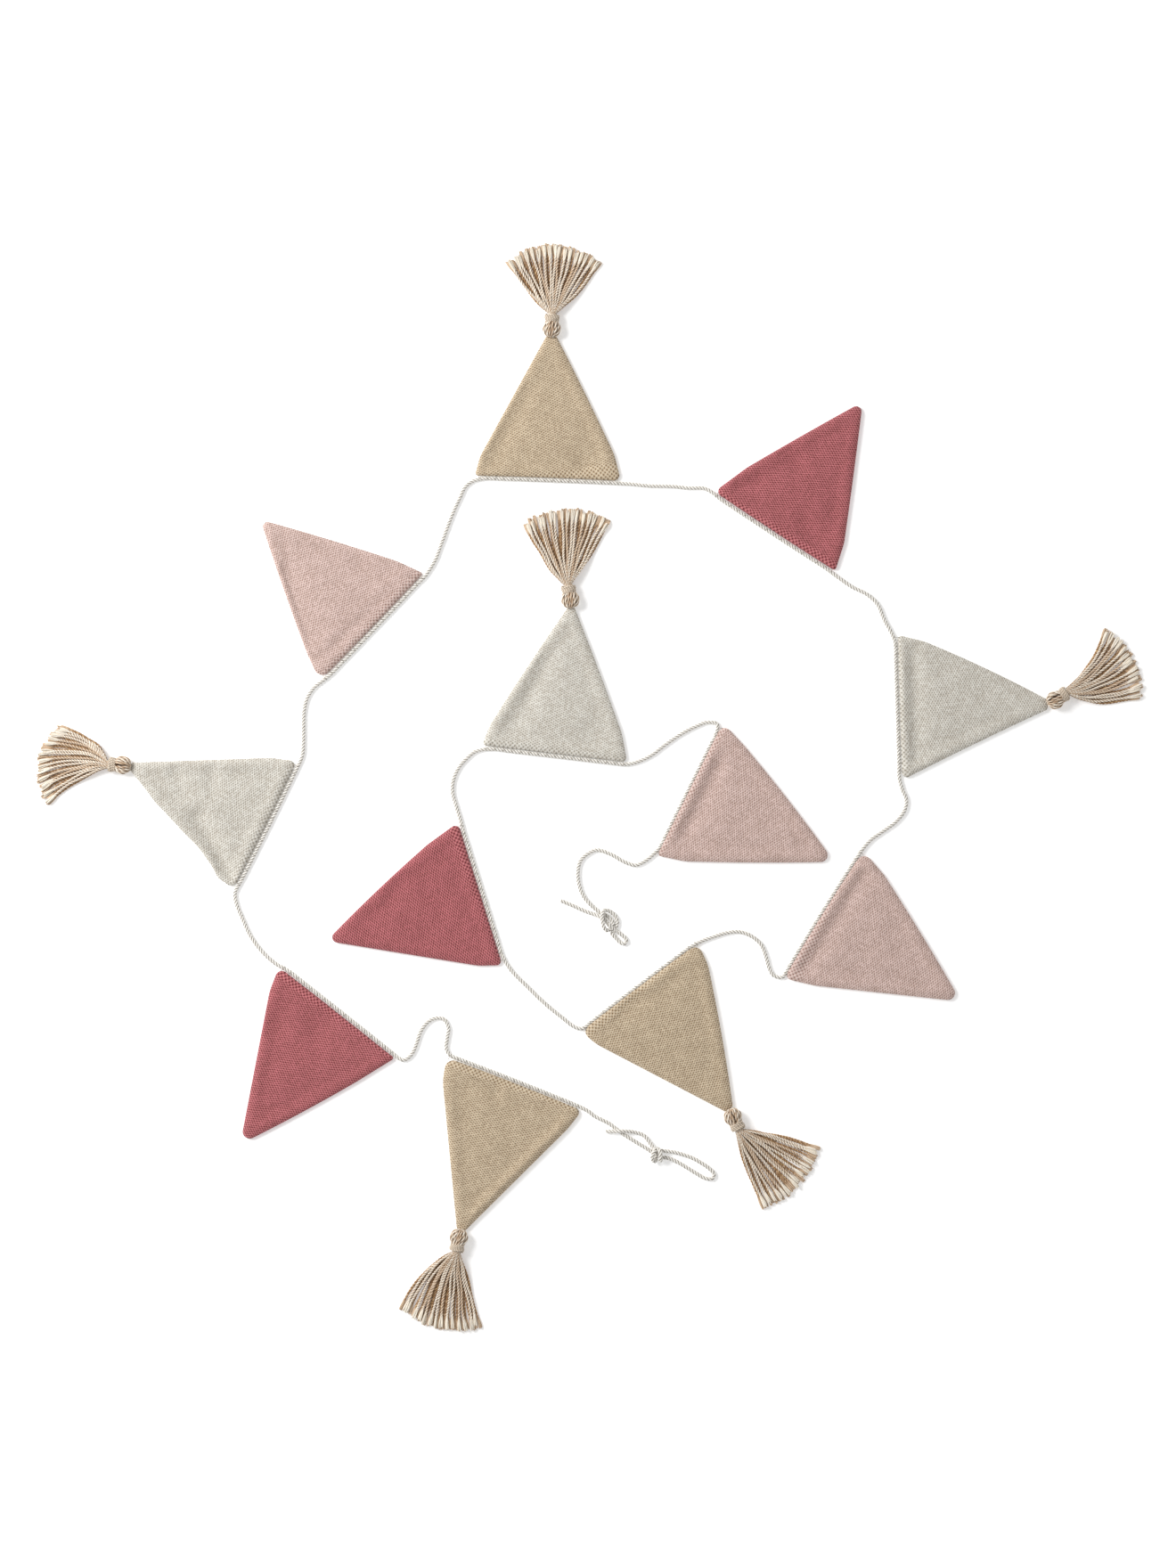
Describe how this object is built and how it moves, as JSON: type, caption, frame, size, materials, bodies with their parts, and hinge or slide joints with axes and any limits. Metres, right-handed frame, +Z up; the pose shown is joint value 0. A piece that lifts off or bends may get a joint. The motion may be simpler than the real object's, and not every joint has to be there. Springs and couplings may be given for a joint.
{
  "type": "fabric bunting",
  "caption": "Knitted triangular pennants on a twisted cotton cord with tied end loops, some pennants ending in a yarn tassel, laid out flat in a loose spiral.",
  "frame": {"origin": "middle of the laid-out spiral, on the surface that it lies on", "axes": "+Z up from the surface; +X to the right and +Y to the top of the picture"},
  "size_m": [1.0181, 1.0011, 0.0136],
  "materials": {
    "tan_knit": "matte knit",
    "rose_knit": "matte knit",
    "blush_knit": "matte knit",
    "chalk_knit": "matte knit",
    "marled_yarn": "matte yarn",
    "cream_yarn": "matte yarn",
    "cotton_cord": "matte cotton"
  },
  "bodies": {
    "root": {"pennant_01": "tan_knit", "pennant_02": "rose_knit", "pennant_03": "chalk_knit", "pennant_04": "blush_knit", "pennant_05": "tan_knit", "pennant_06": "rose_knit", "pennant_07": "chalk_knit", "pennant_08": "blush_knit", "pennant_09": "tan_knit", "pennant_10": "rose_knit", "pennant_11": "chalk_knit", "pennant_12": "blush_knit", "tassel_01": "marled_yarn", "tassel_03": "marled_yarn", "tassel_05": "marled_yarn", "tassel_07": "marled_yarn", "tassel_09": "marled_yarn", "tassel_11": "marled_yarn", "neck_binding_01": "cream_yarn", "neck_binding_03": "cream_yarn", "neck_binding_05": "cream_yarn", "neck_binding_07": "cream_yarn", "neck_binding_09": "cream_yarn", "neck_binding_11": "cream_yarn", "cord": "cotton_cord"}
  },
  "joints": []
}
